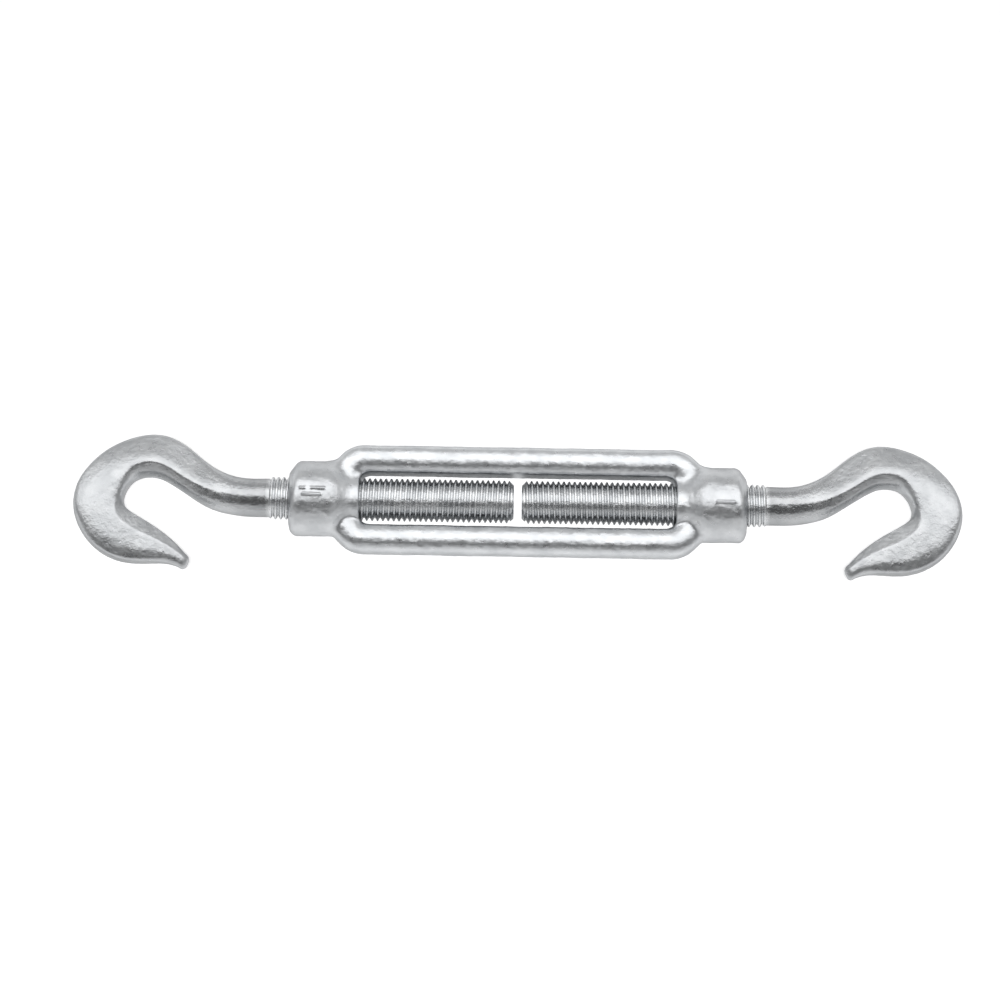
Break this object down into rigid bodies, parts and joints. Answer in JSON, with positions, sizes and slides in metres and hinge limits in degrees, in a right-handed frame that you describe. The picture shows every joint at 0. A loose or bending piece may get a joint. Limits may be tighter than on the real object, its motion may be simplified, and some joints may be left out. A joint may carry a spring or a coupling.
{
  "type": "hook-and-hook turnbuckle",
  "caption": "Open-body turnbuckle: forged body with a threaded boss at each end, and screwed-in hooks that draw together as the body turns, to tension rope, wire or chain.",
  "frame": {"origin": "on the thread axis, at the middle of the body's window", "axes": "+X along the thread axis towards the hook with the right-hand thread, +Y in the plane of the bars and hooks, away from the hooks' openings, +Z square to that plane, up when the turnbuckle lies flat"},
  "size_m": [0.3298, 0.0496, 0.028],
  "materials": {
    "body_zinc": "satin",
    "hook_zinc": "satin",
    "thread_zinc": "satin"
  },
  "bodies": {
    "turnbuckle_body": {"body": "body_zinc"},
    "right_shank": {"shank_right": "thread_zinc"},
    "right_hook": {"hook_right": "hook_zinc"},
    "left_shank": {"shank_left": "thread_zinc"},
    "left_hook": {"hook_left": "hook_zinc"}
  },
  "joints": [
    {"name": "right_travel", "type": "slide", "parent": "turnbuckle_body", "child": "right_shank", "axis": [1, 0, 0], "range_m": [-0.0014, 0.0535]},
    {"name": "right_turn", "type": "hinge", "parent": "right_shank", "child": "right_hook", "pos_m": [0.0925, 0, 0], "axis": [1, 0, 0], "range_deg": [-252, 9630]},
    {"name": "left_travel", "type": "slide", "parent": "turnbuckle_body", "child": "left_shank", "axis": [-1, 0, 0], "range_m": [-0.0014, 0.0535]},
    {"name": "left_turn", "type": "hinge", "parent": "left_shank", "child": "left_hook", "pos_m": [-0.0925, 0, 0], "axis": [1, 0, 0], "range_deg": [-252, 9630]}
  ],
  "couplings": [
    {"joint": "right_turn", "follows": "right_travel", "rad_per_m": 3141.6},
    {"joint": "left_turn", "follows": "left_travel", "rad_per_m": 3141.6}
  ]
}
